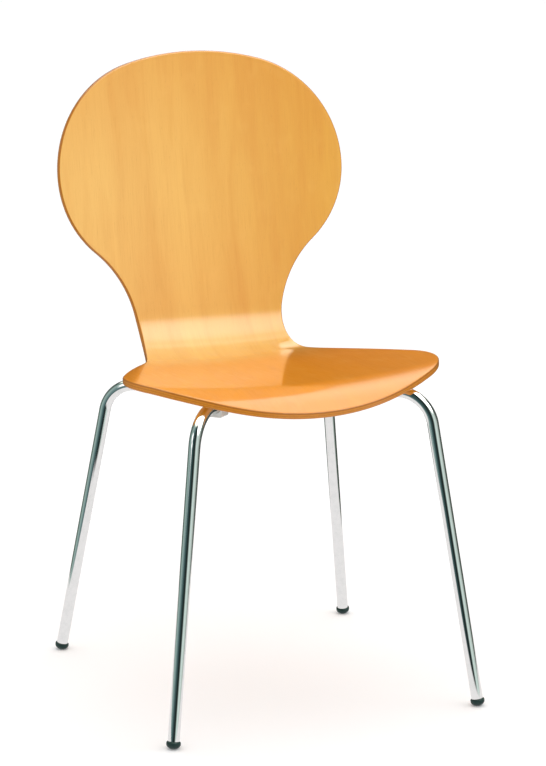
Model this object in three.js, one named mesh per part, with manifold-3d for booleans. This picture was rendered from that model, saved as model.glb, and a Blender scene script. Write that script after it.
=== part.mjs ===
// Stacking chair: one bent plywood shell screwed to a welded four-leg frame of chromed steel tube.
// Millimetres, +Z up, the sitter faces -Y. The origin is on the floor, under the middle of the
// bounding box. Left and right are the left and right of someone looking at the chair's front.
import * as THREE from "three";
import { mergeVertices } from "three/addons/utils/BufferGeometryUtils.js";
import Module from "manifold-3d";

const wasm = await Module();
wasm.setup();

const DEG = Math.PI / 180;
const GAP = 0.3; // clearance kept between pieces that touch

// Plywood shell
const PLY = 10.5;
const EDGE_ROUND = 2.5;
const LIP_SLOPE = 21 * DEG; // how steeply the front lip falls
const LIP_LENGTH = 21;
const LIP_RADIUS = 173;
const SEAT_TILT = 3.5 * DEG; // the seat falls towards the back
const SEAT_FLAT = 242;
const BEND_RADIUS = 73; // between seat and back
const BACK_LEAN = 10.6 * DEG;
const CROSS_RADIUS = 1450; // the sheet is slightly hollow from side to side
const LIP_Y = -201;
const LIP_Z = 432.5;

// Outline of the flat blank, as arcs that run into each other from the top to the front
const TOP_RADIUS = 367;
const SHOULDER_RADIUS = 163;
const BACK_HALF_WIDTH = 218.5;
const FLANK_RADIUS = 145;
const FLANK_ANGLE = 49.5 * DEG;
const WAIST_RADIUS = 163;
const WAIST_ANGLE = 85 * DEG;
const SIDE_RADIUS = 830;
const SIDE_ANGLE = 10.5 * DEG;
const CORNER_RADIUS = 98;
const CORNER_ANGLE = 78.6 * DEG;

// Frame
const TUBE_RADIUS = 8;
const TUBE_WALL = 1.5;
const TUBE_BEND = 50;
const FOOT_X = 226;
const FOOT_Y = 227;
const FRONT_LEAN = 10.45 * DEG; // of a leg from the vertical, outwards along the diagonal
const REAR_LEAN = 11.45 * DEG;
const FRAME_TILT = 5.6 * DEG; // the plane of the arms falls towards the back
const FRAME_Z = 421.2; // height of the arms' axes where they meet
const HUB_RADIUS = 15;
const PLATE_SIDE = 90;
const PLATE_THICK = 2.5;
const SCREW_DISTANCE = 34; // from the hub's axis, between the arms

// Feet and bumpers
const GLIDE_RADIUS = 9.8;
const GLIDE_DOME = 7.2; // depth of the dome below the widest place
const GLIDE_CENTRE_Z = 6.75; // height of the widest place, so that the dome is worn a little flat
const GLIDE_SHOULDER = 3.6; // from the widest place up to the tube's end
const GLIDE_ROUND = 2.6;
const PLUG_LENGTH = 20;
const FRONT_BUMPER = 167; // along the arm, from the hub's axis
const REAR_BUMPER = 150;
const BUMPER_LENGTH = 24;

const FEET_CENTRE_Y = -25.6; // the middle of the four feet lies in front of the origin

// Materials

function veneer() {
  return new THREE.MeshStandardMaterial({ color: 0xe9a552, roughness: 0.32, metalness: 0 });
}

function chrome() {
  return new THREE.MeshStandardMaterial({ color: 0xd5dad8, roughness: 0.08, metalness: 1 });
}

function bareSteel() {
  return new THREE.MeshStandardMaterial({ color: 0x9a9c9d, roughness: 0.45, metalness: 1 });
}

function zinc() {
  return new THREE.MeshStandardMaterial({ color: 0xb8bcbe, roughness: 0.35, metalness: 1 });
}

function rubber() {
  return new THREE.MeshStandardMaterial({ color: 0x1c1d1d, roughness: 0.85, metalness: 0 });
}

function darkPlastic() {
  return new THREE.MeshStandardMaterial({ color: 0x1f3431, roughness: 0.5, metalness: 0 });
}

function clearPlastic() {
  return new THREE.MeshStandardMaterial({ color: 0xd4dcda, roughness: 0.25, metalness: 0 });
}

// Joining and cutting

function toSolid(geometry) {
  const bare = geometry.clone();
  bare.deleteAttribute("normal");
  bare.deleteAttribute("uv");
  const merged = mergeVertices(bare, 1e-4);
  return new wasm.Manifold(
    new wasm.Mesh({
      numProp: 3,
      vertProperties: new Float32Array(merged.attributes.position.array),
      triVerts: new Uint32Array(merged.index.array),
    }),
  );
}

function toGeometry(solid) {
  const mesh = solid.getMesh();
  const geometry = new THREE.BufferGeometry();
  geometry.setAttribute("position", new THREE.BufferAttribute(mesh.vertProperties, 3));
  geometry.setIndex(new THREE.BufferAttribute(mesh.triVerts, 1));
  geometry.computeVertexNormals();
  return geometry;
}

function cylinder(radius, bottom, top, sides = 20) {
  const geometry = new THREE.CylinderGeometry(radius, radius, top - bottom, sides);
  geometry.rotateX(Math.PI / 2);
  geometry.translate(0, 0, (top + bottom) / 2);
  return geometry;
}

function lathe(profile, sides = 20) {
  const points = profile.map(([r, z]) => new THREE.Vector2(r, z));
  const geometry = new THREE.LatheGeometry(points, sides);
  geometry.rotateX(Math.PI / 2);
  return geometry;
}

function named(name, geometry, material) {
  const mesh = new THREE.Mesh(geometry, material);
  mesh.name = name;
  return mesh;
}

// The shell's blank: points along half of its outline, from the top to the front centre.
// Each has its distance from the centre line, its distance along it, and its outward normal.
function blankOutline() {
  const points = [{ x: 0, s: 0, nx: 0, ns: 1 }];
  let x = 0;
  let s = 0;
  let heading = 0; // 0 runs away from the centre line, a quarter turn runs to the front

  function arc(radius, angle, turn, steps) {
    const cx = x - turn * radius * Math.sin(heading);
    const cs = s - turn * radius * Math.cos(heading);
    for (let i = 1; i <= steps; i++) {
      const a = heading + (turn * angle * i) / steps;
      const nx = Math.sin(a);
      const ns = Math.cos(a);
      points.push({ x: cx + turn * radius * nx, s: cs + turn * radius * ns, nx, ns });
    }
    x = points[points.length - 1].x;
    s = points[points.length - 1].s;
    heading += turn * angle;
  }

  const across = (BACK_HALF_WIDTH - SHOULDER_RADIUS) / (TOP_RADIUS - SHOULDER_RADIUS);
  const topAngle = Math.asin(across);
  arc(TOP_RADIUS, topAngle, 1, 6);
  arc(SHOULDER_RADIUS, Math.PI / 2 - topAngle, 1, 12);
  arc(FLANK_RADIUS, FLANK_ANGLE, 1, 7);
  arc(WAIST_RADIUS, WAIST_ANGLE, -1, 16);
  arc(SIDE_RADIUS, SIDE_ANGLE, 1, 6);
  arc(CORNER_RADIUS, CORNER_ANGLE, 1, 8);
  const left = Math.PI - heading;
  arc(x / Math.sin(left), left, 1, 9);
  points[points.length - 1].x = 0;
  const length = -s;
  points.forEach((p) => (p.s += length));
  return points;
}

// The bent centre line: where the sheet's upper face is at a distance s from the front.
function bentLine(s) {
  const runs = [
    [LIP_LENGTH, 0],
    [LIP_RADIUS * (LIP_SLOPE + SEAT_TILT), -1 / LIP_RADIUS],
    [SEAT_FLAT, 0],
    [BEND_RADIUS * (Math.PI / 2 - BACK_LEAN + SEAT_TILT), 1 / BEND_RADIUS],
    [Infinity, 0],
  ];
  let y = LIP_Y;
  let z = LIP_Z;
  let angle = LIP_SLOPE;
  let rest = s;
  for (const [length, bend] of runs) {
    const d = Math.min(length, rest);
    if (bend === 0) {
      y += d * Math.cos(angle);
      z += d * Math.sin(angle);
    } else {
      const next = angle + bend * d;
      y += (Math.sin(next) - Math.sin(angle)) / bend;
      z -= (Math.cos(next) - Math.cos(angle)) / bend;
      angle = next;
    }
    rest -= d;
    if (rest <= 0) break;
  }
  return { y, z, angle };
}

// A point of the sheet: x across, s along the bent line, depth below the upper face.
function sheetPoint(x, s, depth) {
  const { y, z, angle } = bentLine(s);
  const lift = (x * x) / (2 * CROSS_RADIUS) - depth;
  return [x, y - lift * Math.sin(angle), z + lift * Math.cos(angle)];
}

// Closed sheet: two faces ruled between the left and right edges, joined by a rounded edge.
function sheetGeometry() {
  const columns = 10;
  const outline = blankOutline();
  const last = outline.length - 1;
  const positions = [];
  const index = [];

  function add(x, s, depth) {
    positions.push(...sheetPoint(x, s, depth));
    return positions.length / 3 - 1;
  }

  function face(depth) {
    return outline.map((p, i) => {
      const s = p.s - p.ns * EDGE_ROUND;
      const half = p.x - p.nx * EDGE_ROUND;
      if (i === 0 || i === last) return Array(columns + 1).fill(add(0, s, depth));
      const row = [];
      for (let j = 0; j <= columns; j++) row.push(add(half * ((2 * j) / columns - 1), s, depth));
      return row;
    });
  }

  function triangle(a, b, c) {
    if (a !== b && b !== c && c !== a) index.push(a, b, c);
  }

  function quad(a, b, c, d) {
    triangle(a, b, c);
    triangle(a, c, d);
  }

  const upper = face(0);
  const under = face(PLY);
  for (let i = 0; i < last; i++) {
    for (let j = 0; j < columns; j++) {
      quad(upper[i][j], upper[i + 1][j], upper[i + 1][j + 1], upper[i][j + 1]);
      quad(under[i][j], under[i][j + 1], under[i + 1][j + 1], under[i + 1][j]);
    }
  }

  // Loop round the whole edge: down the right side, then back up the left side.
  const loop = outline.map((p, i) => ({ ...p, a: upper[i][columns], b: under[i][columns] }));
  for (let i = last - 1; i > 0; i--) {
    loop.push({ ...outline[i], x: -outline[i].x, nx: -outline[i].nx, a: upper[i][0], b: under[i][0] });
  }
  const quarter = Math.sqrt(0.5);
  const rim = [
    [(quarter - 1) * EDGE_ROUND, (1 - quarter) * EDGE_ROUND],
    [0, EDGE_ROUND],
    [0, PLY - EDGE_ROUND],
    [(quarter - 1) * EDGE_ROUND, PLY - (1 - quarter) * EDGE_ROUND],
  ];
  const strands = loop.map((p) => [
    p.a,
    ...rim.map(([out, depth]) => add(p.x + p.nx * out, p.s + p.ns * out, depth)),
    p.b,
  ]);
  strands.forEach((here, i) => {
    const next = strands[(i + 1) % strands.length];
    for (let k = 0; k + 1 < here.length; k++) quad(here[k], next[k], next[k + 1], here[k + 1]);
  });

  const geometry = new THREE.BufferGeometry();
  geometry.setAttribute("position", new THREE.Float32BufferAttribute(positions, 3));
  geometry.setIndex(index);
  return geometry;
}

// Fastening group: its own Z is square to the arms, its origin is on top of the mounting plate.
const TUBE_AXIS_DEPTH = PLATE_THICK + GAP + TUBE_RADIUS;

function fasteningGroup() {
  const group = new THREE.Group();
  const rise = TUBE_AXIS_DEPTH;
  group.position.set(0, rise * Math.sin(FRAME_TILT), FRAME_Z + rise * Math.cos(FRAME_TILT));
  group.rotation.x = -FRAME_TILT;
  group.updateMatrix();
  return group;
}

// Height of the shell's underside over the plate: the plate meets it along its front edge
const seatMiddle = bentLine((-LIP_Y - 5) / Math.cos(SEAT_TILT));
const under = new THREE.Vector3(
  0,
  seatMiddle.y + PLY * Math.sin(seatMiddle.angle),
  seatMiddle.z - PLY * Math.cos(seatMiddle.angle),
).applyMatrix4(fasteningGroup().matrix.invert());

function underside(x, y) {
  const wedge = (y - under.y) * Math.tan(FRAME_TILT - SEAT_TILT);
  return under.z + wedge + (x * x) / (2 * CROSS_RADIUS);
}

const corners = [
  { name: "front_left", x: -1, y: -1, lean: FRONT_LEAN, bumper: FRONT_BUMPER },
  { name: "front_right", x: 1, y: -1, lean: FRONT_LEAN, bumper: FRONT_BUMPER },
  { name: "rear_left", x: -1, y: 1, lean: REAR_LEAN, bumper: REAR_BUMPER },
  { name: "rear_right", x: 1, y: 1, lean: REAR_LEAN, bumper: REAR_BUMPER },
];

// The screws stand between the arms, one on each side of the hub
const INSERT_RADIUS = 4.5;
const INSERT_LENGTH = 6.5;
const SCREW_RADIUS = 2.75;
const screws = [
  { name: "front", x: 0, y: -SCREW_DISTANCE },
  { name: "right", x: SCREW_DISTANCE, y: 0 },
  { name: "rear", x: 0, y: SCREW_DISTANCE },
  { name: "left", x: -SCREW_DISTANCE, y: 0 },
];

function seatShell() {
  let solid = toSolid(sheetGeometry());
  const frame = fasteningGroup();
  for (const { x, y } of screws) {
    const hole = cylinder(INSERT_RADIUS + GAP, -2, underside(x, y) + INSERT_LENGTH + 1, 16);
    hole.translate(x, y, 0);
    hole.applyMatrix4(frame.matrix);
    solid = solid.subtract(toSolid(hole));
  }
  return named("seat_shell", toGeometry(solid), veneer());
}

function mountingPlate() {
  const half = PLATE_SIDE / 2;
  const round = 12;
  const outline = new THREE.Shape();
  outline.absarc(half - round, half - round, round, 0, Math.PI / 2);
  outline.absarc(round - half, half - round, round, Math.PI / 2, Math.PI);
  outline.absarc(round - half, round - half, round, Math.PI, 1.5 * Math.PI);
  outline.absarc(half - round, round - half, round, 1.5 * Math.PI, 2 * Math.PI);
  for (const { x, y } of screws) {
    const hole = new THREE.Path();
    hole.absarc(x, y, SCREW_RADIUS + 0.5, 0, 2 * Math.PI, true);
    outline.holes.push(hole);
  }
  const geometry = new THREE.ExtrudeGeometry(outline, {
    depth: PLATE_THICK,
    bevelEnabled: false,
    curveSegments: 6,
  });
  const plate = named("mounting_plate", geometry, bareSteel());
  plate.position.z = -PLATE_THICK;
  return plate;
}

function frameHub() {
  const height = 2 * TUBE_RADIUS;
  const hub = named("frame_hub", cylinder(HUB_RADIUS, 0, height, 24), bareSteel());
  hub.position.z = -PLATE_THICK - GAP - height;
  return hub;
}

// Washer between plate and shell, as thick as the gap on its narrow side
function spacer({ name, x, y }) {
  const outer = 8;
  const inner = SCREW_RADIUS + 0.5;
  const top = underside(Math.max(Math.abs(x) - outer, 0), y - outer) - GAP;
  const ring = lathe([
    [inner, GAP],
    [outer, GAP],
    [outer, top],
    [inner, top],
    [inner, GAP],
  ]);
  const mesh = named("spacer_" + name, ring, rubber());
  mesh.position.set(x, y, 0);
  return mesh;
}

function threadedInsert({ name, x, y }) {
  const inner = SCREW_RADIUS + GAP;
  const bottom = underside(x, y) + 0.4;
  const top = underside(x, y) + INSERT_LENGTH;
  const sleeve = lathe(
    [
      [inner, bottom],
      [INSERT_RADIUS, bottom],
      [INSERT_RADIUS, top],
      [inner, top],
      [inner, bottom],
    ],
    16,
  );
  const mesh = named("insert_" + name, sleeve, zinc());
  mesh.position.set(x, y, 0);
  return mesh;
}

function shellScrew({ name, x, y }) {
  const tip = underside(x, y) + INSERT_LENGTH - 1;
  const headTop = -PLATE_THICK - GAP;
  const headHeight = 3.2;
  const headRadius = 6;
  const recess = 1.8;
  const screw = lathe(
    [
      [0, tip],
      [SCREW_RADIUS, tip],
      [SCREW_RADIUS, headTop],
      [headRadius, headTop],
      [headRadius, headTop - 1.6],
      [headRadius - 1.6, headTop - headHeight],
      [2, headTop - headHeight],
      [2, headTop - headHeight + recess],
      [0, headTop - headHeight + recess],
    ].reverse(),
    16,
  );
  const mesh = named("screw_" + name, screw, zinc());
  mesh.position.set(x, y, 0);
  return mesh;
}

// Path of a leg's centre line: along the arm from the hub, round the bend, down to the foot.
// Its samples are counted out by stretch, so that the bend gets most of them.
class LegPath extends THREE.Curve {
  constructor(start, elbow, end, radius) {
    super();
    const arm = elbow.clone().sub(start).normalize();
    const leg = end.clone().sub(elbow).normalize();
    const turn = arm.angleTo(leg);
    const set = radius * Math.tan(turn / 2);
    this.start = start;
    this.end = end;
    this.arm = arm;
    this.turn = turn;
    this.radius = radius;
    this.bendStart = elbow.clone().addScaledVector(arm, -set);
    this.bendEnd = elbow.clone().addScaledVector(leg, set);
    this.inward = leg.clone().addScaledVector(arm, -leg.dot(arm)).normalize();
    this.centre = this.bendStart.clone().addScaledVector(this.inward, radius);
  }

  getPoint(t, target = new THREE.Vector3()) {
    const share = 1 / 7;
    if (t <= share) return target.copy(this.start).lerp(this.bendStart, t / share);
    if (t >= 1 - 2 * share) {
      return target.copy(this.bendEnd).lerp(this.end, (t - 1 + 2 * share) / (2 * share));
    }
    const a = (this.turn * (t - share)) / (1 - 3 * share);
    return target
      .copy(this.centre)
      .addScaledVector(this.inward, -this.radius * Math.cos(a))
      .addScaledVector(this.arm, this.radius * Math.sin(a));
  }

  getPointAt(u, target) {
    return this.getPoint(u, target);
  }

  getTangentAt(u, target) {
    return this.getTangent(u, target);
  }
}

// Direction down a leg, and where its axis meets the floor
function legLine(corner) {
  const outward = Math.sin(corner.lean) / Math.SQRT2;
  return {
    foot: new THREE.Vector3(corner.x * FOOT_X, corner.y * FOOT_Y, 0),
    down: new THREE.Vector3(corner.x * outward, corner.y * outward, -Math.cos(corner.lean)),
  };
}

// A point on a leg's axis, at a distance up the leg from the widest place of its glide
function alongLeg(corner, distance) {
  const { foot, down } = legLine(corner);
  return foot.addScaledVector(down, GLIDE_CENTRE_Z / down.z - distance);
}

// The arm's line in the tilted plane of the frame, from the hub's axis
function armLine(corner) {
  const frame = fasteningGroup();
  const origin = new THREE.Vector3(0, 0, -TUBE_AXIS_DEPTH).applyMatrix4(frame.matrix);
  const out = new THREE.Vector3(corner.x, corner.y, 0).normalize();
  out.transformDirection(frame.matrix);
  return { origin, out };
}

// The elbow is where the leg, seen from above, meets the arm
function elbowOf(corner) {
  const { origin, out } = armLine(corner);
  const { foot, down } = legLine(corner);
  const rise = new THREE.Vector3();
  let height = origin.z;
  for (let i = 0; i < 20; i++) {
    rise.copy(foot).addScaledVector(down, height / down.z);
    const reach = rise.clone().sub(origin).dot(out);
    height = origin.z + out.z * reach;
  }
  return rise;
}

function legTube(corner) {
  const { origin } = armLine(corner);
  const elbow = elbowOf(corner);
  const arm = elbow.clone().sub(origin).normalize();
  const start = origin.clone().addScaledVector(arm, HUB_RADIUS + GAP);
  const end = alongLeg(corner, GLIDE_SHOULDER + GAP);
  const section = new THREE.Shape();
  section.absarc(0, 0, TUBE_RADIUS, 0, 2 * Math.PI);
  const bore = new THREE.Path();
  bore.absarc(0, 0, TUBE_RADIUS - TUBE_WALL, 0, 2 * Math.PI, true);
  section.holes.push(bore);
  const geometry = new THREE.ExtrudeGeometry(section, {
    steps: 14,
    bevelEnabled: false,
    curveSegments: 8,
    extrudePath: new LegPath(start, elbow, end, TUBE_BEND),
  });
  return named("leg_" + corner.name, geometry, chrome());
}

// Domed foot in line with its leg, flat where it stands, with a plug up the leg's bore
function glide(corner) {
  const plugRadius = TUBE_RADIUS - TUBE_WALL - GAP;
  const profile = [];
  const steps = 8;
  for (let i = 0; i <= steps; i++) {
    const a = (i / steps) * (Math.PI / 2);
    profile.push([GLIDE_RADIUS * Math.sin(a), -GLIDE_DOME * Math.cos(a)]);
  }
  const rim = 3;
  for (let i = 0; i <= rim; i++) {
    const a = (i / rim) * (Math.PI / 2);
    profile.push([
      GLIDE_RADIUS - GLIDE_ROUND * (1 - Math.cos(a)),
      GLIDE_SHOULDER - GLIDE_ROUND * (1 - Math.sin(a)),
    ]);
  }
  profile.push([plugRadius, GLIDE_SHOULDER]);
  profile.push([plugRadius, GLIDE_SHOULDER + PLUG_LENGTH]);
  profile.push([0, GLIDE_SHOULDER + PLUG_LENGTH]);
  profile[0][0] = 0;

  const { down } = legLine(corner);
  const lean = new THREE.Quaternion();
  lean.setFromUnitVectors(new THREE.Vector3(0, 0, 1), down.clone().negate());
  const body = lathe(profile, 24).applyQuaternion(lean).translate(...alongLeg(corner, 0));
  const solid = toSolid(body).trimByPlane([0, 0, 1], 0);
  return named("glide_" + corner.name, toGeometry(solid), darkPlastic());
}

// Clear saddle that clips round the arm from below and keeps stacked chairs apart
function stackingBumper(corner) {
  const width = 21;
  const below = 5.5;
  const above = 3;
  const round = 3;
  const half = width / 2;
  const low = -TUBE_RADIUS - below;
  const outline = new THREE.Shape();
  outline.moveTo(half, above);
  outline.lineTo(-half, above);
  outline.absarc(round - half, low + round, round, Math.PI, 1.5 * Math.PI);
  outline.absarc(half - round, low + round, round, 1.5 * Math.PI, 2 * Math.PI);
  outline.closePath();
  const block = new THREE.ExtrudeGeometry(outline, {
    depth: BUMPER_LENGTH,
    bevelEnabled: false,
    curveSegments: 4,
  });
  block.translate(0, 0, -BUMPER_LENGTH / 2);
  const tube = cylinder(TUBE_RADIUS + GAP, -BUMPER_LENGTH, BUMPER_LENGTH, 24);
  const solid = toSolid(block).subtract(toSolid(tube));

  // The block is drawn in its own XY plane, with the tube along its Z and its underside at -Y
  const { origin } = armLine(corner);
  const along = elbowOf(corner).sub(origin).normalize();
  const up = new THREE.Vector3(0, 0, 1).addScaledVector(along, -along.z).normalize();
  const side = new THREE.Vector3().crossVectors(up, along);
  const mesh = named("bumper_" + corner.name, toGeometry(solid), clearPlastic());
  mesh.quaternion.setFromRotationMatrix(new THREE.Matrix4().makeBasis(side, up, along));
  mesh.position.copy(origin).addScaledVector(along, corner.bumper);
  return mesh;
}

const chair = new THREE.Group();
chair.position.y = FEET_CENTRE_Y;
chair.add(seatShell());

const fastening = fasteningGroup();
fastening.add(mountingPlate(), frameHub());
for (const place of screws) {
  fastening.add(threadedInsert(place), shellScrew(place));
  if (place.name !== "front") fastening.add(spacer(place));
}
for (const corner of corners) {
  chair.add(legTube(corner), glide(corner), stackingBumper(corner));
}
chair.add(fastening);

export default chair;
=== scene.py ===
"""Looks of the stacking chair.

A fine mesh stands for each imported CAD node, with procedural materials, in a plain studio.
Sizes are in millimetres until they become vertices, which are in metres.
"""
import math
import random

import bmesh
import bpy
from mathutils import Matrix, Vector


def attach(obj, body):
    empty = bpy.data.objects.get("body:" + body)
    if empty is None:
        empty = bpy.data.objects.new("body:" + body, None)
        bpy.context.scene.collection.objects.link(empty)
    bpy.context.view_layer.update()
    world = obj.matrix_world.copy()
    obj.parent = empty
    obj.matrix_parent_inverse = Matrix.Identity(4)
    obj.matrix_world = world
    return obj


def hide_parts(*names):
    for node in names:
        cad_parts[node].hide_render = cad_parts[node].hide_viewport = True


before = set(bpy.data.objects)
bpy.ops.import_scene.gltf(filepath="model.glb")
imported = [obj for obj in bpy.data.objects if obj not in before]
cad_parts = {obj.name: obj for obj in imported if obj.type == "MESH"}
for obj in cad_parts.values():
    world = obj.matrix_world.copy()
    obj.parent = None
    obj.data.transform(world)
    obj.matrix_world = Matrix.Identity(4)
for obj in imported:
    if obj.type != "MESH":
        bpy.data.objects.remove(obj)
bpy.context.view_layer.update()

MM = 0.001
DEG = math.pi / 180

# Camera
CAMERA_AZIMUTH = -23.05 * DEG
CAMERA_ELEVATION = 13.29 * DEG
CAMERA_ROLL = 0.21 * DEG
CAMERA_DISTANCE = 4.1095
CAMERA_LENS = 139.05
AIM = Vector((0.0, -0.0256, 0.430))
AIM_RIGHT = 0.01138
AIM_UP = -0.00159

# Plywood shell, in millimetres
PLY = 10.5
EDGE_ROUND = 2.5
LIP_SLOPE = 21 * DEG
LIP_LENGTH = 21
LIP_RADIUS = 173
SEAT_TILT = 3.5 * DEG
SEAT_FLAT = 242
BEND_RADIUS = 73
BACK_LEAN = 10.6 * DEG
CROSS_RADIUS = 1450
TOP_RADIUS = 367
SHOULDER_RADIUS = 163
BACK_HALF_WIDTH = 218.5
FLANK_RADIUS = 145
FLANK_ANGLE = 49.5 * DEG
WAIST_RADIUS = 163
WAIST_ANGLE = 85 * DEG
SIDE_RADIUS = 830
SIDE_ANGLE = 10.5 * DEG
CORNER_RADIUS = 98
CORNER_ANGLE = 78.6 * DEG
LIP_Y = -201
LIP_Z = 432.5

# Frame, in millimetres
TUBE_RADIUS = 8
TUBE_WALL = 1.5
TUBE_BEND = 50
FOOT_X = 226
FOOT_Y = 227
LEAN = {-1: 10.45 * DEG, 1: 11.45 * DEG}  # of the front legs and of the rear legs
FRAME_TILT = 5.6 * DEG
FRAME_Z = 421.2
HUB_RADIUS = 15
PLATE_SIDE = 90
PLATE_THICK = 2.5
PLATE_CORNER = 12
SCREW_DISTANCE = 34
SCREW_RADIUS = 2.75
INSERT_RADIUS = 4.5
INSERT_LENGTH = 6.5
GLIDE_RADIUS = 9.8
GLIDE_DOME = 7.2
GLIDE_CENTRE_Z = 6.75
GLIDE_SHOULDER = 3.6
GLIDE_ROUND = 2.6
PLUG_LENGTH = 20
BUMPER_DISTANCE = {-1: 167, 1: 150}  # on the front arms and on the rear arms
BUMPER_LENGTH = 24
FEET_CENTRE_Y = -25.6  # the middle of the four feet lies in front of the origin
GAP = 0.3
SCREW_CLEARANCE = 0.5
SEAT_OVER_HUB = 196 / math.cos(SEAT_TILT)  # along the sheet, from its front edge to over the hub

# Studio, in metres and radians. Turns are from the photographer's side, positive to the right.
SKY = (1.0, 1.0, 1.0, 1.0)
PAPER_HALF_X = 0.75
PAPER_HALF_Y = 0.62
PAPER_Y = 0.15
PAPER_FADE = 0.12
SOFTBOX = (3.6, 3.528, 3.024, 1)
SOFTBOX_LEAN = 20 * DEG  # over the chair, a little beyond it
SOFTBOX_OUTER = 48 * DEG
SOFTBOX_INNER = 27 * DEG

# Lamps that only glossy surfaces show: turn, rise, outer and inner spread, strength
LAMPS = [
    (62 * DEG, 50 * DEG, 31 * DEG, 4 * DEG, 6.0),
    (-52 * DEG, 13 * DEG, 11 * DEG, 7 * DEG, 1.6),
    (-64 * DEG, 29 * DEG, 13 * DEG, 8 * DEG, 1.6),
]

# Round the horizon, by turn in degrees: the dark room that the chrome shows
ROOM = [
    (-180, (0.02, 0.022, 0.02)),
    (-125, (0.10, 0.15, 0.13)),
    (-85, (0.34, 0.45, 0.42)),
    (-55, (0.16, 0.25, 0.25)),
    (-30, (0.045, 0.085, 0.085)),
    (0, (0.012, 0.018, 0.018)),
    (14, (0.03, 0.045, 0.04)),
    (38, (0.68, 0.80, 0.76)),
    (75, (0.55, 0.62, 0.58)),
    (100, (0.09, 0.11, 0.095)),
    (140, (0.05, 0.06, 0.05)),
    (180, (0.02, 0.022, 0.02)),
]

CORNERS = [
    ("front_left", -1, -1),
    ("front_right", 1, -1),
    ("rear_left", -1, 1),
    ("rear_right", 1, 1),
]


# ---------------------------------------------------------------- camera

def make_camera():
    a, e = CAMERA_AZIMUTH, CAMERA_ELEVATION
    back = Vector((math.sin(a) * math.cos(e), -math.cos(a) * math.cos(e), math.sin(e)))
    right = Vector((math.cos(a), math.sin(a), 0))
    up = back.cross(right)
    eye = AIM + back * CAMERA_DISTANCE + right * AIM_RIGHT + up * AIM_UP
    turned_right = right * math.cos(CAMERA_ROLL) + up * math.sin(CAMERA_ROLL)
    turned_up = up * math.cos(CAMERA_ROLL) - right * math.sin(CAMERA_ROLL)
    data = bpy.data.cameras.new("camera")
    data.lens = CAMERA_LENS
    data.sensor_width = 36
    data.clip_end = 100
    camera = bpy.data.objects.new("camera", data)
    axes = Matrix((turned_right, turned_up, back)).transposed().to_4x4()
    camera.matrix_world = Matrix.Translation(eye) @ axes
    bpy.context.scene.collection.objects.link(camera)
    bpy.context.scene.camera = camera


make_camera()


# ---------------------------------------------------------------- node helpers

class Nodes:
    """A material or world node tree, with short ways to add what the finishes need."""

    def __init__(self, owner):
        owner.use_nodes = True
        self.tree = owner.node_tree
        self.tree.nodes.clear()

    def add(self, kind, **inputs):
        node = self.tree.nodes.new(kind)
        for name, value in inputs.items():
            self.put(node, name.replace("_", " "), value)
        return node

    def put(self, node, name, value):
        socket = node.inputs[name]
        if isinstance(value, bpy.types.NodeSocket):
            self.tree.links.new(value, socket)
        else:
            socket.default_value = value

    def math(self, operation, a, b=0.0, c=0.0):
        node = self.tree.nodes.new("ShaderNodeMath")
        node.operation = operation
        for i, value in enumerate((a, b, c)):
            if isinstance(value, bpy.types.NodeSocket):
                self.tree.links.new(value, node.inputs[i])
            else:
                node.inputs[i].default_value = value
        return node.outputs[0]

    def noise(self, coords, scale, detail=3.0, roughness=0.5, distortion=0.0):
        node = self.add("ShaderNodeTexNoise", Vector=coords, Scale=scale, Detail=detail,
                        Roughness=roughness, Distortion=distortion)
        return node.outputs["Fac"]

    def stretched(self, coords, scale):
        return self.add("ShaderNodeMapping", Vector=coords, Scale=scale).outputs[0]

    def band(self, value, low, high, to_low=0.0, to_high=1.0):
        """A smooth step between two values, from one result to the other."""
        node = self.tree.nodes.new("ShaderNodeMapRange")
        node.interpolation_type = "SMOOTHSTEP"
        self.tree.links.new(value, node.inputs["Value"])
        for name, number in (("From Min", low), ("From Max", high),
                             ("To Min", to_low), ("To Max", to_high)):
            node.inputs[name].default_value = number
        return node.outputs[0]

    def mix(self, factor, a, b, blend="MIX"):
        node = self.tree.nodes.new("ShaderNodeMix")
        node.data_type = "RGBA"
        node.blend_type = blend
        for index, value in ((0, factor), (6, a), (7, b)):
            if isinstance(value, bpy.types.NodeSocket):
                self.tree.links.new(value, node.inputs[index])
            else:
                node.inputs[index].default_value = value
        return node.outputs[2]

    def bump(self, height, strength, distance):
        node = self.add("ShaderNodeBump", Height=height, Strength=strength, Distance=distance)
        return node.outputs[0]

    def surface(self, **inputs):
        """A Principled shader on the output. An underscore stands for a space in its names."""
        shader = self.add("ShaderNodeBsdfPrincipled", **inputs)
        out = self.tree.nodes.new("ShaderNodeOutputMaterial")
        self.tree.links.new(shader.outputs[0], out.inputs["Surface"])
        return shader


def material(name):
    made = bpy.data.materials.new(name)
    nodes = Nodes(made)
    coords = nodes.tree.nodes.new("ShaderNodeTexCoord").outputs["Object"]
    return made, nodes, coords


def rgb(r, g, b):
    """Linear colour from 0-255 screen values."""
    def linear(v):
        v /= 255
        return v / 12.92 if v <= 0.04045 else ((v + 0.055) / 1.055) ** 2.4
    return (linear(r), linear(g), linear(b), 1.0)


# ---------------------------------------------------------------- finishes

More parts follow.
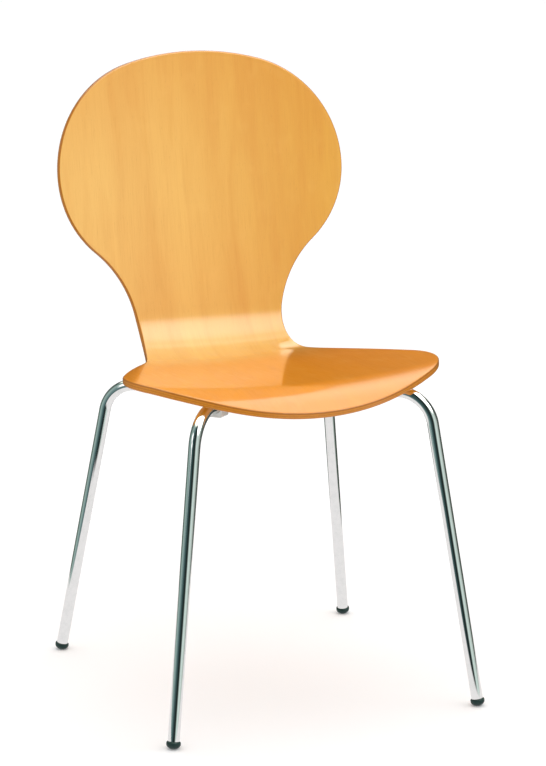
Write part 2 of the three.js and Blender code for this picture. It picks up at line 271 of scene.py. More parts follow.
def veneer_material():
    made, n, coords = material("veneer")

    def attribute(name):
        node = n.add("ShaderNodeAttribute")
        node.attribute_name = name
        return node.outputs["Fac"]

    depth = attribute("depth")
    along = attribute("along")
    across = attribute("across")

    # Flat coordinates of the sheet, so that the grain follows it round the bend. Each noise is
    # stretched along the grain, from broad streaks down to single fibres.
    flat = n.add("ShaderNodeCombineXYZ", X=across, Y=along).outputs[0]
    wander = n.noise(n.stretched(flat, (3.5, 2.5, 1)), 1.0, 2, 0.5)
    bent = n.add("ShaderNodeCombineXYZ", X=n.math("MULTIPLY_ADD", wander, 0.022, across), Y=along)
    bent = bent.outputs[0]
    broad = n.noise(n.stretched(bent, (9, 0.9, 1)), 1.0, 2, 0.5)
    figure = n.noise(n.stretched(bent, (36, 3.2, 1)), 1.0, 4, 0.6, 0.4)
    line = n.noise(n.stretched(bent, (210, 3.0, 1)), 1.0, 3, 0.55)
    fibre = n.noise(n.stretched(bent, (1100, 22, 1)), 1.0, 2, 0.5)
    mottle = n.noise(n.stretched(flat, (30, 16, 1)), 1.0, 3, 0.55)
    flecks = n.noise(n.stretched(flat, (900, 120, 1)), 1.0, 1, 0.4)

    # Painted light: the back is painted palest on its left side, where the light falls most
    pale = n.mix(n.band(across, -0.22, 0.22), rgb(246, 201, 112), rgb(228, 168, 62))
    # The back deepens towards its top
    pale = n.mix(n.band(along, 0.58, 0.90, 0.0, 0.6), pale, rgb(220, 146, 38))
    # Painted shade: the seat is painted darker than the back. Painted highlight: the pale base
    # reaching into the bend stands in for the bend's sheen
    face_with_painted_light = n.mix(n.band(along, 0.28, 0.38), rgb(228, 140, 2), pale)
    deep = n.mix(0.45, face_with_painted_light, rgb(204, 118, 14))
    face = n.mix(n.band(broad, 0.38, 0.62, 0.0, 0.42), face_with_painted_light, deep)
    face = n.mix(n.band(figure, 0.42, 0.70, 0.0, 0.46), face, deep)
    face = n.mix(n.band(line, 0.50, 0.80, 0.0, 0.20), face, deep)
    face = n.mix(n.band(fibre, 0.45, 0.80, 0.0, 0.16), face, rgb(192, 112, 30))
    face = n.mix(n.band(mottle, 0.50, 0.80, 0.0, 0.12), face, rgb(255, 206, 112))
    face = n.mix(n.band(flecks, 0.68, 0.75, 0.0, 0.14), face, rgb(160, 92, 38))

    # Edge: crossed veneers in turn light and dark, under the same lacquer
    layers = n.math("SINE", n.math("MULTIPLY", depth, 7 * math.pi))
    end_grain = n.noise(n.stretched(coords, (420, 420, 420)), 1.0, 3, 0.6)
    edge = n.mix(n.band(layers, -0.25, 0.25), rgb(186, 112, 18), rgb(206, 132, 28))
    edge = n.mix(n.band(end_grain, 0.35, 0.75, 0.0, 0.3), edge, rgb(150, 78, 20))
    # Painted shade: a dark line just under the upper face, all round the edge, stands in for the
    # shadow under the face veneer's rim
    painted_rim_shadow = n.math("MULTIPLY", n.band(depth, 0.03, 0.07), n.band(depth, 0.22, 0.13))
    edge = n.mix(n.math("MULTIPLY", painted_rim_shadow, 0.4), edge, rgb(118, 52, 14))
    on_edge = n.math("MULTIPLY", n.band(depth, 0.012, 0.03), n.band(depth, 0.988, 0.97))
    colour = n.mix(on_edge, face, edge)

    ripple = n.noise(n.stretched(flat, (26, 5, 1)), 1.0, 2, 0.5)
    height = n.math("ADD", n.math("MULTIPLY", fibre, 0.2), n.math("MULTIPLY", ripple, 0.8))
    n.surface(
        Base_Color=colour,
        Roughness=n.band(fibre, 0.3, 0.8, 0.42, 0.52),
        IOR=1.45,
        Specular_IOR_Level=0.2,
        Coat_Weight=n.band(along, 0.24, 0.34, 0.7, 1.0),
        Coat_Roughness=0.11,
        Coat_IOR=1.5,
        Normal=n.bump(height, 0.10, 0.0005),
    )
    return made


def chrome_material():
    made, n, coords = material("chrome")
    wave = n.noise(n.stretched(coords, (18, 18, 5)), 1.0, 2, 0.5)
    haze = n.noise(coords, 90.0, 4, 0.6)
    specks = n.noise(coords, 1400.0, 1, 0.5)
    bright = (0.87, 0.895, 0.885, 1)
    hazed = (0.77, 0.805, 0.79, 1)
    colour = n.mix(n.band(haze, 0.35, 0.75, 0.0, 0.5), bright, hazed)
    rough = n.math("ADD", n.band(haze, 0.3, 0.8, 0.035, 0.075),
                   n.band(specks, 0.7, 0.8, 0.0, 0.05))
    n.surface(
        Base_Color=colour,
        Metallic=1.0,
        Roughness=rough,
        Normal=n.bump(wave, 0.05, 0.0008),
    )
    return made


def moulded_material(name, colour, other, roughness, grain):
    made, n, coords = material(name)
    cloud = n.noise(coords, 60.0, 3, 0.5)
    pores = n.noise(coords, grain, 3, 0.6)
    n.surface(
        Base_Color=n.mix(n.band(cloud, 0.3, 0.7), colour, other),
        Roughness=n.band(pores, 0.3, 0.7, roughness - 0.06, roughness + 0.08),
        IOR=1.49,
        Specular_IOR_Level=0.25,
        Normal=n.bump(pores, 0.12, 0.0003),
    )
    return made


def clear_material():
    made, n, coords = material("clear_plastic")
    cloud = n.noise(coords, 70.0, 2, 0.5)
    n.surface(
        Base_Color=n.mix(n.band(cloud, 0.3, 0.7), (0.84, 0.87, 0.86, 1), (0.78, 0.81, 0.80, 1)),
        Roughness=n.band(cloud, 0.3, 0.7, 0.14, 0.22),
        IOR=1.49,
        Transmission_Weight=0.4,
    )
    return made


def steel_material(name, colour, other, roughness, metallic):
    made, n, coords = material(name)
    grain = n.noise(n.stretched(coords, (60, 900, 60)), 1.0, 3, 0.6)
    spots = n.noise(coords, 240.0, 4, 0.65)
    n.surface(
        Base_Color=n.mix(n.band(spots, 0.35, 0.7), colour, other),
        Metallic=metallic,
        Roughness=n.band(grain, 0.3, 0.7, roughness - 0.08, roughness + 0.1),
        Normal=n.bump(grain, 0.08, 0.0002),
    )
    return made


VENEER = veneer_material()
CHROME = chrome_material()
GLIDE = moulded_material("dark_plastic", (0.008, 0.028, 0.025, 1), (0.012, 0.037, 0.033, 1),
                         0.40, 500.0)
RUBBER = moulded_material("rubber", (0.012, 0.012, 0.012, 1), (0.022, 0.022, 0.021, 1),
                          0.75, 900.0)
CLEAR = clear_material()
PLATE = steel_material("bare_steel", (0.30, 0.31, 0.32, 1), (0.20, 0.21, 0.22, 1),
                       0.42, 0.85)
ZINC = steel_material("zinc", (0.58, 0.60, 0.62, 1), (0.44, 0.46, 0.48, 1),
                      0.30, 1.0)


# ---------------------------------------------------------------- mesh helpers

def make_object(name, bm, finish, node):
    """The finished piece: smooth, on the chair's one body, standing for its CAD node."""
    bmesh.ops.recalc_face_normals(bm, faces=bm.faces)
    mesh = bpy.data.meshes.new(name)
    bm.to_mesh(mesh)
    bm.free()
    mesh.polygons.foreach_set("use_smooth", [True] * len(mesh.polygons))
    mesh.materials.append(finish)
    made = bpy.data.objects.new(name, mesh)
    bpy.context.scene.collection.objects.link(made)
    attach(made, "root")
    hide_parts(node)
    return made


def lathe(bm, profile, sides, place):
    """Turns a closed or axis-to-axis profile of (radius, height) points, in millimetres."""
    rings = []
    for r, z in profile:
        if r < 1e-6:
            rings.append([bm.verts.new(place @ (Vector((0, 0, z)) * MM))] * sides)
            continue
        ring = []
        for i in range(sides):
            a = 2 * math.pi * i / sides
            ring.append(bm.verts.new(place @ (Vector((r * math.cos(a), r * math.sin(a), z)) * MM)))
        rings.append(ring)
    closed = profile[0][0] > 1e-6
    count = len(rings) if closed else len(rings) - 1
    for k in range(count):
        join_rings(bm, rings[k], rings[(k + 1) % len(rings)])
    return rings


def join_rings(bm, a, b):
    for i in range(len(a)):
        j = (i + 1) % len(a)
        corners = []
        for v in (a[i], a[j], b[j], b[i]):
            if v not in corners:
                corners.append(v)
        if len(corners) > 2:
            bm.faces.new(corners)


def rounded(points, radius, steps=5):
    """Rounds the corners of an open profile, except its two ends."""
    out = [points[0]]
    for i in range(1, len(points) - 1):
        p = Vector(points[i])
        before = Vector(points[i - 1]) - p
        after = Vector(points[i + 1]) - p
        r = min(radius, before.length * 0.45, after.length * 0.45)
        a = p + before.normalized() * r
        b = p + after.normalized() * r
        for k in range(steps + 1):
            t = k / steps
            q = a * (1 - t) ** 2 + p * 2 * t * (1 - t) + b * t * t
            out.append((q.x, q.y))
    out.append(points[-1])
    return out


# ---------------------------------------------------------------- shell

def blank_outline():
    """Half of the flat blank's outline, from the top to the front: (x, s, normal x, normal s)."""
    points = [(0.0, 0.0, 0.0, 1.0)]
    state = [0.0, 0.0, 0.0]

    def arc(radius, angle, turn, steps):
        x, s, heading = state
        cx = x - turn * radius * math.sin(heading)
        cs = s - turn * radius * math.cos(heading)
        for i in range(1, steps + 1):
            a = heading + turn * angle * i / steps
            points.append((cx + turn * radius * math.sin(a), cs + turn * radius * math.cos(a),
                           math.sin(a), math.cos(a)))
        state[:] = [points[-1][0], points[-1][1], heading + turn * angle]

    top = math.asin((BACK_HALF_WIDTH - SHOULDER_RADIUS) / (TOP_RADIUS - SHOULDER_RADIUS))
    arc(TOP_RADIUS, top, 1, 20)
    arc(SHOULDER_RADIUS, math.pi / 2 - top, 1, 36)
    arc(FLANK_RADIUS, FLANK_ANGLE, 1, 22)
    arc(WAIST_RADIUS, WAIST_ANGLE, -1, 60)
    arc(SIDE_RADIUS, SIDE_ANGLE, 1, 24)
    arc(CORNER_RADIUS, CORNER_ANGLE, 1, 28)
    left = math.pi - state[2]
    arc(state[0] / math.sin(left), left, 1, 30)
    length = -state[1]
    points[-1] = (0.0,) + points[-1][1:]
    return [(x, s + length, nx, ns) for x, s, nx, ns in points]


def bent_line(s):
    """Height and depth of the sheet's upper face on its centre line, and its slope."""
    runs = [
        (LIP_LENGTH, 0),
        (LIP_RADIUS * (LIP_SLOPE + SEAT_TILT), -1 / LIP_RADIUS),
        (SEAT_FLAT, 0),
        (BEND_RADIUS * (math.pi / 2 - BACK_LEAN + SEAT_TILT), 1 / BEND_RADIUS),
        (1e9, 0),
    ]
    y, z = LIP_Y + FEET_CENTRE_Y, LIP_Z
    angle = LIP_SLOPE
    rest = s
    for length, bend in runs:
        d = min(length, rest)
        if bend == 0:
            y += d * math.cos(angle)
            z += d * math.sin(angle)
        else:
            after = angle + bend * d
            y += (math.sin(after) - math.sin(angle)) / bend
            z -= (math.cos(after) - math.cos(angle)) / bend
            angle = after
        rest -= d
        if rest <= 0:
            break
    return y, z, angle


def sheet_point(x, s, depth):
    y, z, angle = bent_line(s)
    lift = x * x / (2 * CROSS_RADIUS) - depth
    return Vector((x, y - lift * math.sin(angle), z + lift * math.cos(angle))) * MM


def make_shell():
    columns = 56
    rim_steps = 5
    bm = bmesh.new()
    layers = [bm.verts.layers.float.new(name) for name in ("across", "along", "depth")]
    outline = blank_outline()
    last = len(outline) - 1

    def vertex(x, s, depth):
        v = bm.verts.new(sheet_point(x, s, depth))
        for layer, value in zip(layers, (x * MM, s * MM, depth / PLY)):
            v[layer] = value
        return v

    def face(depth):
        rows = []
        for i, (x, s, nx, ns) in enumerate(outline):
            inner = s - ns * EDGE_ROUND
            half = x - nx * EDGE_ROUND
            if i in (0, last):
                rows.append([vertex(0, inner, depth)] * (columns + 1))
            else:
                rows.append([vertex(half * (2 * j / columns - 1), inner, depth)
                             for j in range(columns + 1)])
        return rows

    def quad(*corners):
        kept = []
        for v in corners:
            if v not in kept:
                kept.append(v)
        if len(kept) > 2:
            bm.faces.new(kept)

    upper, under = face(0.0), face(PLY)
    for rows in (upper, under):
        for i in range(last):
            for j in range(columns):
                quad(rows[i][j], rows[i + 1][j], rows[i + 1][j + 1], rows[i][j + 1])

    loop = [(x, s, nx, ns, upper[i][columns], under[i][columns])
            for i, (x, s, nx, ns) in enumerate(outline)]
    for i in range(last - 1, 0, -1):
        x, s, nx, ns = outline[i]
        loop.append((-x, s, -nx, ns, upper[i][0], under[i][0]))

    rim = []
    for k in range(1, rim_steps + 1):
        a = math.pi / 2 * k / rim_steps
        rim.append(((math.sin(a) - 1) * EDGE_ROUND, (1 - math.cos(a)) * EDGE_ROUND))
    for k in range(1, 6):
        rim.append((0.0, EDGE_ROUND + (PLY - 2 * EDGE_ROUND) * k / 6))
    for k in range(rim_steps, 0, -1):
        a = math.pi / 2 * k / rim_steps
        rim.append(((math.sin(a) - 1) * EDGE_ROUND, PLY - (1 - math.cos(a)) * EDGE_ROUND))

    strands = []
    for x, s, nx, ns, a, b in loop:
        middle = [vertex(x + nx * out, s + ns * out, depth) for out, depth in rim]
        strands.append([a] + middle + [b])
    for i, here in enumerate(strands):
        after = strands[(i + 1) % len(strands)]
        for k in range(len(here) - 1):
            quad(here[k], here[k + 1], after[k + 1], after[k])

    return make_object("shell", bm, VENEER, "seat_shell")


make_shell()


# ---------------------------------------------------------------- frame

def fastening_frame():
    """Placement with its Z square to the arms and its origin on top of the mounting plate."""
    rise = PLATE_THICK + GAP + TUBE_RADIUS
    place = Vector((0, rise * math.sin(FRAME_TILT), FRAME_Z + rise * math.cos(FRAME_TILT)))
    place.y += FEET_CENTRE_Y
    return Matrix.Translation(place * MM) @ Matrix.Rotation(-FRAME_TILT, 4, "X")


FASTENING = fastening_frame()
ARM_START = FASTENING @ (Vector((0, 0, -PLATE_THICK - GAP - TUBE_RADIUS)) * MM)


def leg_down(side_x, side_y):
    lean = LEAN[side_y]
    outward = math.sin(lean) / math.sqrt(2)
    return Vector((side_x * outward, side_y * outward, -math.cos(lean)))


def on_leg(side_x, side_y, distance):
    """A point on a leg's axis, so far up the leg from the widest place of its glide."""
    down = leg_down(side_x, side_y)
    foot = Vector((side_x * FOOT_X, side_y * FOOT_Y + FEET_CENTRE_Y, 0))
    return (foot + down * (GLIDE_CENTRE_Z / down.z - distance)) * MM


def elbow(side_x, side_y):
    """Where the line of the leg meets the line of the arm, seen from above."""
    out = FASTENING.to_3x3() @ Vector((side_x, side_y, 0)).normalized()
    foot, down = on_leg(side_x, side_y, 0), leg_down(side_x, side_y)
    height = ARM_START.z
    for _ in range(20):
        rise = foot + down * ((height - foot.z) / down.z)
        height = ARM_START.z + out.z * (rise - ARM_START).dot(out)
    return rise


def leg_path(side_x, side_y):
    """Points and directions along a leg's centre line, from inside the hub to the glide."""
    corner = elbow(side_x, side_y)
    end = on_leg(side_x, side_y, GLIDE_SHOULDER + GAP)
    arm = (corner - ARM_START).normalized()
    leg = (end - corner).normalized()
    start = ARM_START + arm * (HUB_RADIUS - 2) * MM
    turn = arm.angle(leg)
    radius = TUBE_BEND * MM
    bend_start = corner - arm * radius * math.tan(turn / 2)
    bend_end = corner + leg * radius * math.tan(turn / 2)
    inward = (leg - arm * leg.dot(arm)).normalized()
    centre = bend_start + inward * radius
    path = [(start.lerp(bend_start, t / 8), arm, 0.0) for t in range(8)]
    steps = 40
    for i in range(steps + 1):
        a = turn * i / steps
        point = centre - inward * radius * math.cos(a) + arm * radius * math.sin(a)
        pull = math.sin(math.pi * i / steps)
        path.append((point, arm * math.cos(a) + inward * math.sin(a), pull))
    path += [(bend_end.lerp(end, t / 16), leg, 0.0) for t in range(1, 17)]
    return path, arm.cross(leg).normalized()


def make_leg(name, side_x, side_y):
    """Drawn tube, a little flattened where it was bent, open at both ends."""
    sides = 48
    flattening = 0.02
    path, square = leg_path(side_x, side_y)
    bm = bmesh.new()

    def ring(point, direction, pull, radius):
        across = direction.cross(square)
        verts = []
        for i in range(sides):
            a = 2 * math.pi * i / sides
            wide = radius * (1 + flattening * pull) * math.cos(a)
            tall = radius * (1 - flattening * pull) * math.sin(a)
            verts.append(bm.verts.new(point + square * wide + across * tall))
        return verts

    outer = [ring(*step, TUBE_RADIUS * MM) for step in path]
    inner = [ring(*step, (TUBE_RADIUS - TUBE_WALL) * MM) for step in path]
    for tube in (outer, inner):
        for a, b in zip(tube, tube[1:]):
            join_rings(bm, a, b)
    join_rings(bm, outer[0], inner[0])
    join_rings(bm, outer[-1], inner[-1])
    made = make_object("tube_" + name, bm, CHROME, "leg_" + name)
    sharpen(made, 40)
    return made


def make_glide(name, side_x, side_y):
    """Dome, shoulder and plug in one, leaning with the leg and flattened by the floor."""
    profile = [(0, -GLIDE_DOME)]
    steps = 20
    for i in range(1, steps + 1):
        a = i / steps * math.pi / 2
        profile.append((GLIDE_RADIUS * math.sin(a), -GLIDE_DOME * math.cos(a)))
    rim = 8
    for i in range(1, rim + 1):
        a = i / rim * math.pi / 2
        profile.append((GLIDE_RADIUS - GLIDE_ROUND * (1 - math.cos(a)),
                        GLIDE_SHOULDER - GLIDE_ROUND * (1 - math.sin(a))))
    plug = TUBE_RADIUS - TUBE_WALL - GAP
    end = GLIDE_SHOULDER + PLUG_LENGTH
    profile += [(plug, GLIDE_SHOULDER), (plug, end - 1), (plug - 1, end), (0, end)]
    lean = (-leg_down(side_x, side_y)).to_track_quat("Z", "Y").to_matrix().to_4x4()
    bm = bmesh.new()
    lathe(bm, profile, 48, Matrix.Translation(on_leg(side_x, side_y, 0)) @ lean)
    for v in bm.verts:
        v.co.z = max(v.co.z, 0.0)
    made = make_object("foot_" + name, bm, GLIDE, "glide_" + name)
    sharpen(made, 50)
    return made


def sharpen(made, degrees):
    """Faces that meet at more than this angle keep a crisp edge between them."""
    bm = bmesh.new()
    bm.from_mesh(made.data)
    for edge in bm.edges:
        if len(edge.link_faces) == 2 and edge.calc_face_angle() > degrees * DEG:
            edge.smooth = False
    bm.to_mesh(made.data)
    bm.free()


def make_bumper(name, side_x, side_y):
    """Clear saddle round the underside of the arm, with every edge rounded."""
    half = 10.5
    above = 3
    wall_below = 5.5
    low = -TUBE_RADIUS - wall_below
    corner = 3
    bore = TUBE_RADIUS + 0.1
    outline = [(half, above)]
    for i in range(9):
        a = -i / 8 * math.pi / 2
        outline.append((half - corner + corner * math.cos(a), low + corner + corner * math.sin(a)))
    outline += [(-x, y) for x, y in reversed(outline)]
    grip = math.asin(above / bore)
    for i in range(25):
        a = math.pi - grip + (math.pi + 2 * grip) * i / 24
        outline.append((bore * math.cos(a), bore * math.sin(a)))

    along = (elbow(side_x, side_y) - ARM_START).normalized()
    up = (Vector((0, 0, 1)) - along * along.z).normalized()
    side = up.cross(along)
    middle = ARM_START + along * BUMPER_DISTANCE[side_y] * MM
    bm = bmesh.new()

    def ring(distance):
        return [bm.verts.new(middle + (side * x + up * y + along * distance) * MM)
                for x, y in outline]

    back, front = ring(-BUMPER_LENGTH / 2), ring(BUMPER_LENGTH / 2)
    join_rings(bm, back, front)
    bm.faces.new(back)
    bm.faces.new(front)
    made = make_object("saddle_" + name, bm, CLEAR, "bumper_" + name)
    bevel(made, 0.9, 3, 50)
    return made


def bevel(made, width, segments, degrees):
    rounding = made.modifiers.new("rounding", "BEVEL")
    rounding.width = width * MM
    rounding.segments = segments
    rounding.limit_method = "ANGLE"
    rounding.angle_limit = degrees * DEG
    rounding.harden_normals = True


for corner_name, x_side, y_side in CORNERS:
    make_leg(corner_name, x_side, y_side)
    make_glide(corner_name, x_side, y_side)
    make_bumper(corner_name, x_side, y_side)


# ---------------------------------------------------------------- plate, hub and fastenings

SCREWS = [("front", 0, -SCREW_DISTANCE), ("right", SCREW_DISTANCE, 0),
          ("rear", 0, SCREW_DISTANCE), ("left", -SCREW_DISTANCE, 0)]


def underside(x, y):
    """Height of the shell's underside over the plate."""
    middle = sheet_point(0, SEAT_OVER_HUB, PLY)
    under = FASTENING.inverted() @ middle / MM
    wedge = (y - under.y) * math.tan(FRAME_TILT - SEAT_TILT)
    return under.z + wedge + x * x / (2 * CROSS_RADIUS)


def make_plate():
    """Pressed plate: a filled outline with its screw holes, given thickness and a soft edge."""
    edge = 0.5
    curve = bpy.data.curves.new("plate", "CURVE")
    curve.dimensions = "2D"
    curve.fill_mode = "BOTH"
    curve.extrude = (PLATE_THICK / 2 - edge) * MM
    curve.bevel_depth = edge * MM
    curve.bevel_resolution = 2
    curve.offset = -edge * MM

    def loop(points):
        spline = curve.splines.new("POLY")
        spline.points.add(len(points) - 1)
        for p, (x, y) in zip(spline.points, points):
            p.co = (x * MM, y * MM, 0, 1)
        spline.use_cyclic_u = True

    def arc(cx, cy, radius, start, sweep, steps):
        return [(cx + radius * math.cos(start + sweep * i / steps),
                 cy + radius * math.sin(start + sweep * i / steps)) for i in range(steps + 1)]

    inset = PLATE_SIDE / 2 - PLATE_CORNER
    outline = []
    for i, (sx, sy) in enumerate(((1, 1), (-1, 1), (-1, -1), (1, -1))):
        outline += arc(sx * inset, sy * inset, PLATE_CORNER, i * math.pi / 2, math.pi / 2, 12)
    loop(outline)
    for _, x, y in SCREWS:
        loop(arc(x, y, SCREW_RADIUS + SCREW_CLEARANCE, 0, 2 * math.pi, 32)[:-1])
    drawn = bpy.data.objects.new("plate_outline", curve)
    bpy.context.scene.collection.objects.link(drawn)
    depsgraph = bpy.context.evaluated_depsgraph_get()
    flat = bpy.data.meshes.new_from_object(drawn.evaluated_get(depsgraph))
    bpy.data.objects.remove(drawn)
    bm = bmesh.new()
    bm.from_mesh(flat)
    bmesh.ops.remove_doubles(bm, verts=bm.verts, dist=1e-6)
    bmesh.ops.transform(bm, verts=bm.verts,
                        matrix=FASTENING @ Matrix.Translation((0, 0, -PLATE_THICK / 2 * MM)))
    made = make_object("plate", bm, PLATE, "mounting_plate")
    sharpen(made, 35)


def make_hub():
    """Turned boss that the four arms are welded to, with a bead round each joint."""
    top = -PLATE_THICK - GAP
    bottom = top - 2 * TUBE_RADIUS
    recess = 5
    recess_top = bottom + 3
    profile = rounded([(0, top), (HUB_RADIUS, top), (HUB_RADIUS, bottom), (recess, bottom),
                       (recess, recess_top), (0, recess_top)], 1.2)
    bm = bmesh.new()
    lathe(bm, profile, 64, FASTENING)
    draw = random.Random(11)
    bead = 1.5
    ripple = 0.28
    unevenness = 0.12
    ripples = 26
    steps, around = 72, 10
    for _, side_x, side_y in CORNERS:
        out = (elbow(side_x, side_y) - ARM_START).normalized()
        up = (FASTENING.to_3x3() @ Vector((0, 0, 1))).normalized()
        side = up.cross(out)
        rings = []
        phase = draw.random() * math.pi
        for i in range(steps):
            a = 2 * math.pi * i / steps
            # The bead follows the round hub: its middle sits where the tube meets the boss
            reach = math.sqrt(HUB_RADIUS ** 2 - (TUBE_RADIUS * math.cos(a)) ** 2)
            spoke = side * math.cos(a) + up * math.sin(a)
            middle = ARM_START + (out * reach + spoke * TUBE_RADIUS) * MM
            fat = bead + ripple * math.sin(ripples * a + phase) + unevenness * draw.random()
            # Flattened above and below, where the hub's faces end
            tall = 0.75 if abs(math.sin(a)) > 0.92 else 1.0
            rings.append([bm.verts.new(middle + (out * math.cos(b) + spoke * math.sin(b) * tall)
                                       * fat * MM)
                          for b in (2 * math.pi * k / around for k in range(around))])
        for i, ring in enumerate(rings):
            join_rings(bm, ring, rings[(i + 1) % steps])
    made = make_object("hub", bm, PLATE, "frame_hub")
    sharpen(made, 60)


def make_spacer(name, x, y):
    outer = 8
    inner = SCREW_RADIUS + SCREW_CLEARANCE
    top = underside(max(abs(x) - outer, 0), y - outer) - GAP / 2
    low = GAP / 2
    middle = (inner + outer) / 2
    profile = rounded([(middle, low), (outer, low), (outer, top), (inner, top), (inner, low),
                       (middle, low)], 0.6)
    bm = bmesh.new()
    lathe(bm, profile[:-1], 40, FASTENING @ Matrix.Translation((x * MM, y * MM, 0)))
    make_object("washer_" + name, bm, RUBBER, "spacer_" + name)


def make_insert(name, x, y):
    bottom = underside(x, y) + 0.4
    top = underside(x, y) + INSERT_LENGTH
    inner = SCREW_RADIUS + GAP
    middle = (inner + INSERT_RADIUS) / 2
    barb_pitch = 1.25
    barb_depth = 0.45
    barbs = [(middle, bottom), (INSERT_RADIUS, bottom)]
    for i in range(4):
        z = bottom + 1 + i * barb_pitch
        barbs += [(INSERT_RADIUS, z), (INSERT_RADIUS - barb_depth, z + 0.6)]
    barbs += [(INSERT_RADIUS, top), (inner, top), (inner, bottom), (middle, bottom)]
    bm = bmesh.new()
    lathe(bm, rounded(barbs, 0.2, 2)[:-1], 32, FASTENING @ Matrix.Translation((x * MM, y * MM, 0)))
    make_object("sleeve_" + name, bm, ZINC, "insert_" + name)


def make_screw(name, x, y):
    """Domed head with a hexagon socket, and a shank with a thread's rings."""
    tip = underside(x, y) + INSERT_LENGTH - 1
    seat = -PLATE_THICK - GAP / 2
    head = 3.2
    head_radius = 6
    head_rim = 0.8
    dome_inset = 2.6
    socket = 2
    face = seat - head
    deep = face + 2
    thread_pitch = 0.8
    thread_depth = 0.35
    dome = []
    for i in range(9):
        a = i / 8 * math.pi / 2
        dome.append((head_radius - 0.2 - dome_inset * (1 - math.cos(a)),
                     seat - head_rim - (head - head_rim) * math.sin(a)))
    profile = [(0, tip), (SCREW_RADIUS - 0.6, tip), (SCREW_RADIUS, tip - 0.6)]
    z = tip - thread_pitch
    while z > thread_pitch:
        profile += [(SCREW_RADIUS, z), (SCREW_RADIUS - thread_depth, z - thread_pitch / 2)]
        z -= thread_pitch
    profile += [(SCREW_RADIUS, thread_pitch / 2), (SCREW_RADIUS, seat), (head_radius, seat),
                (head_radius, seat - 0.6)]
    profile += dome
    rim = len(profile)
    profile += [(socket + 0.3, face), (socket, face + 0.25), (socket, deep), (0, deep - 0.4)]
    bm = bmesh.new()
    place = FASTENING @ Matrix.Translation((x * MM, y * MM, 0))
    rings = lathe(bm, profile, 48, place)
    for ring in rings[rim:-1]:
        for i, v in enumerate(ring):
            a = 2 * math.pi * i / len(ring)
            hexagon = 1 / math.cos((a + math.pi / 6) % (math.pi / 3) - math.pi / 6)
            local = place.inverted() @ v.co
            v.co = place @ Vector((local.x * hexagon, local.y * hexagon, local.z))
    made = make_object("bolt_" + name, bm, ZINC, "screw_" + name)
    sharpen(made, 35)


make_plate()
make_hub()
for screw_name, screw_x, screw_y in SCREWS:
    if screw_name != "front":
        make_spacer(screw_name, screw_x, screw_y)
    make_insert(screw_name, screw_x, screw_y)
    make_screw(screw_name, screw_x, screw_y)


# ---------------------------------------------------------------- studio

def stage_plane(name, half_x, half_y, height, finish, middle_y=0.0):
    mesh = bpy.data.meshes.new(name)
    corners = [(x * half_x, middle_y + y * half_y, height)
               for x, y in ((-1, -1), (1, -1), (1, 1), (-1, 1))]
    mesh.from_pydata(corners, [], [(0, 1, 2, 3)])
    mesh.materials.append(finish)
    plane = bpy.data.objects.new(name, mesh)
    bpy.context.scene.collection.objects.link(plane)
    return plane


def paper_material():
    made, n, coords = material("paper")
    mottle = n.noise(coords, 3.0, 3, 0.5)
    n.surface(Base_Color=n.mix(mottle, (0.965, 0.965, 0.965, 1), (0.955, 0.955, 0.955, 1)),
              Roughness=0.9, Specular_IOR_Level=0.1,
              Emission_Color=(1, 1, 1, 1), Emission_Strength=0.05)
    return made


def reflected_paper_material():
    """The lit paper as polished metal shows it: bright round the chair, fading out at its edges."""
    made, n, coords = material("reflected_paper")
    axes = n.add("ShaderNodeSeparateXYZ", Vector=coords)
    out_x = n.math("ABSOLUTE", axes.outputs[0])
    out_y = n.math("ABSOLUTE", n.math("SUBTRACT", axes.outputs[1], PAPER_Y))
    inside = n.math("MULTIPLY", n.band(out_x, PAPER_HALF_X - PAPER_FADE, PAPER_HALF_X, 1.0, 0.0),
                    n.band(out_y, PAPER_HALF_Y - PAPER_FADE, PAPER_HALF_Y, 1.0, 0.0))
    glow = n.add("ShaderNodeEmission", Color=(0.90, 0.86, 0.865, 1), Strength=1.0)
    clear = n.tree.nodes.new("ShaderNodeBsdfTransparent")
    shader = n.tree.nodes.new("ShaderNodeMixShader")
    n.tree.links.new(inside, shader.inputs[0])
    n.tree.links.new(clear.outputs[0], shader.inputs[1])
    n.tree.links.new(glow.outputs[0], shader.inputs[2])
    out = n.tree.nodes.new("ShaderNodeOutputMaterial")
    n.tree.links.new(shader.outputs[0], out.inputs["Surface"])
    return made


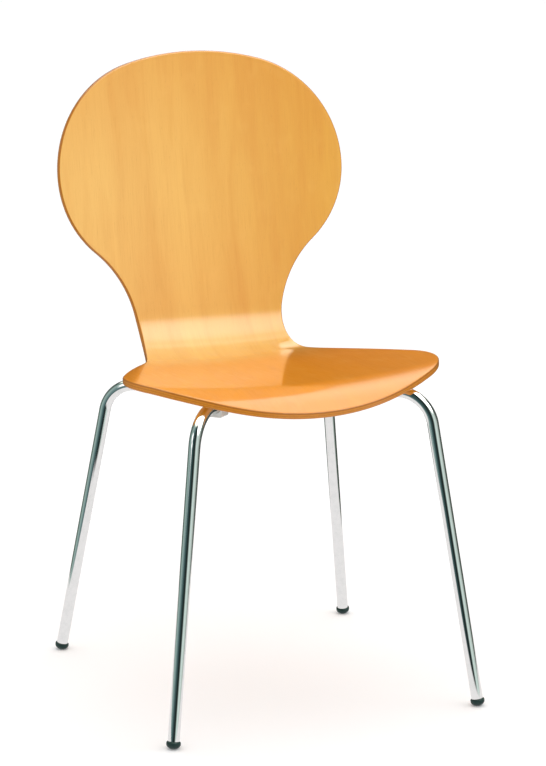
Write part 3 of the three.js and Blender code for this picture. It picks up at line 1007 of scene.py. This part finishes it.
def make_world():
    """White light all round. Glossy surfaces show a dark room, a wide softbox and lamps."""
    world = bpy.data.worlds.new("studio")
    bpy.context.scene.world = world
    n = Nodes(world)
    direction = n.tree.nodes.new("ShaderNodeTexCoord").outputs["Generated"]
    a = CAMERA_AZIMUTH

    def along(axis):
        dot = n.tree.nodes.new("ShaderNodeVectorMath")
        dot.operation = "DOT_PRODUCT"
        n.tree.links.new(direction, dot.inputs[0])
        dot.inputs[1].default_value = axis
        return dot.outputs["Value"]

    front = along((math.sin(a), -math.cos(a), 0))
    right = along((math.cos(a), math.sin(a), 0))
    turn = n.math("DIVIDE", n.math("ARCTAN2", right, front), 2 * math.pi)
    ramp = n.tree.nodes.new("ShaderNodeValToRGB")
    n.tree.links.new(n.math("ADD", turn, 0.5), ramp.inputs[0])
    ramp.color_ramp.interpolation = "EASE"
    stops = ramp.color_ramp.elements
    while len(stops) < len(ROOM):
        stops.new(0.5)
    for stop, (angle, colour) in zip(stops, ROOM):
        stop.position = angle / 360 + 0.5
        stop.color = colour + (1,)

    lean = SOFTBOX_LEAN
    overhead = along((-math.sin(a) * math.sin(lean), math.cos(a) * math.sin(lean), math.cos(lean)))
    softbox = n.band(overhead, math.cos(SOFTBOX_OUTER), math.cos(SOFTBOX_INNER))
    room = n.mix(softbox, ramp.outputs[0], SOFTBOX)
    for turn_right, rise, outer, inner, strength in LAMPS:
        bearing = a + turn_right
        aim = Vector((math.sin(bearing), -math.cos(bearing), math.tan(rise))).normalized()
        lamp = n.band(along(aim), math.cos(outer), math.cos(inner))
        room = n.mix(lamp, room, (strength, strength, strength, 1))
    path = n.tree.nodes.new("ShaderNodeLightPath")
    colour = n.mix(path.outputs["Is Glossy Ray"], SKY, room)
    shade = n.add("ShaderNodeBackground", Color=colour, Strength=1.0)
    out = n.tree.nodes.new("ShaderNodeOutputWorld")
    n.tree.links.new(shade.outputs[0], out.inputs["Surface"])


def area_light(name, place, target, width, height, watts):
    """A soft lamp for the plywood and the paper, which the chrome doesn't show."""
    data = bpy.data.lights.new(name, "AREA")
    data.shape = "RECTANGLE"
    data.size = width
    data.size_y = height
    data.energy = watts
    light = bpy.data.objects.new(name, data)
    light.location = place
    light.rotation_euler = (Vector(target) - Vector(place)).to_track_quat("-Z", "Y").to_euler()
    light.visible_glossy = False
    bpy.context.scene.collection.objects.link(light)


floor = stage_plane("floor", 40, 40, 0.0, paper_material())
floor.visible_glossy = False
mirrored = stage_plane("mirrored_paper", PAPER_HALF_X, PAPER_HALF_Y, 0.0002,
                       reflected_paper_material(), PAPER_Y)
mirrored.visible_camera = False
mirrored.visible_diffuse = False
mirrored.visible_shadow = False
mirrored.visible_transmission = False
make_world()
area_light("fill", (2.4, -1.4, 1.0), (0, 0, 0.6), 1.2, 1.8, 8)
area_light("top", (0.2, 0.3, 2.6), (0, 0, 0.4), 1.6, 1.6, 8)

scene = bpy.context.scene
scene.view_settings.view_transform = "Standard"
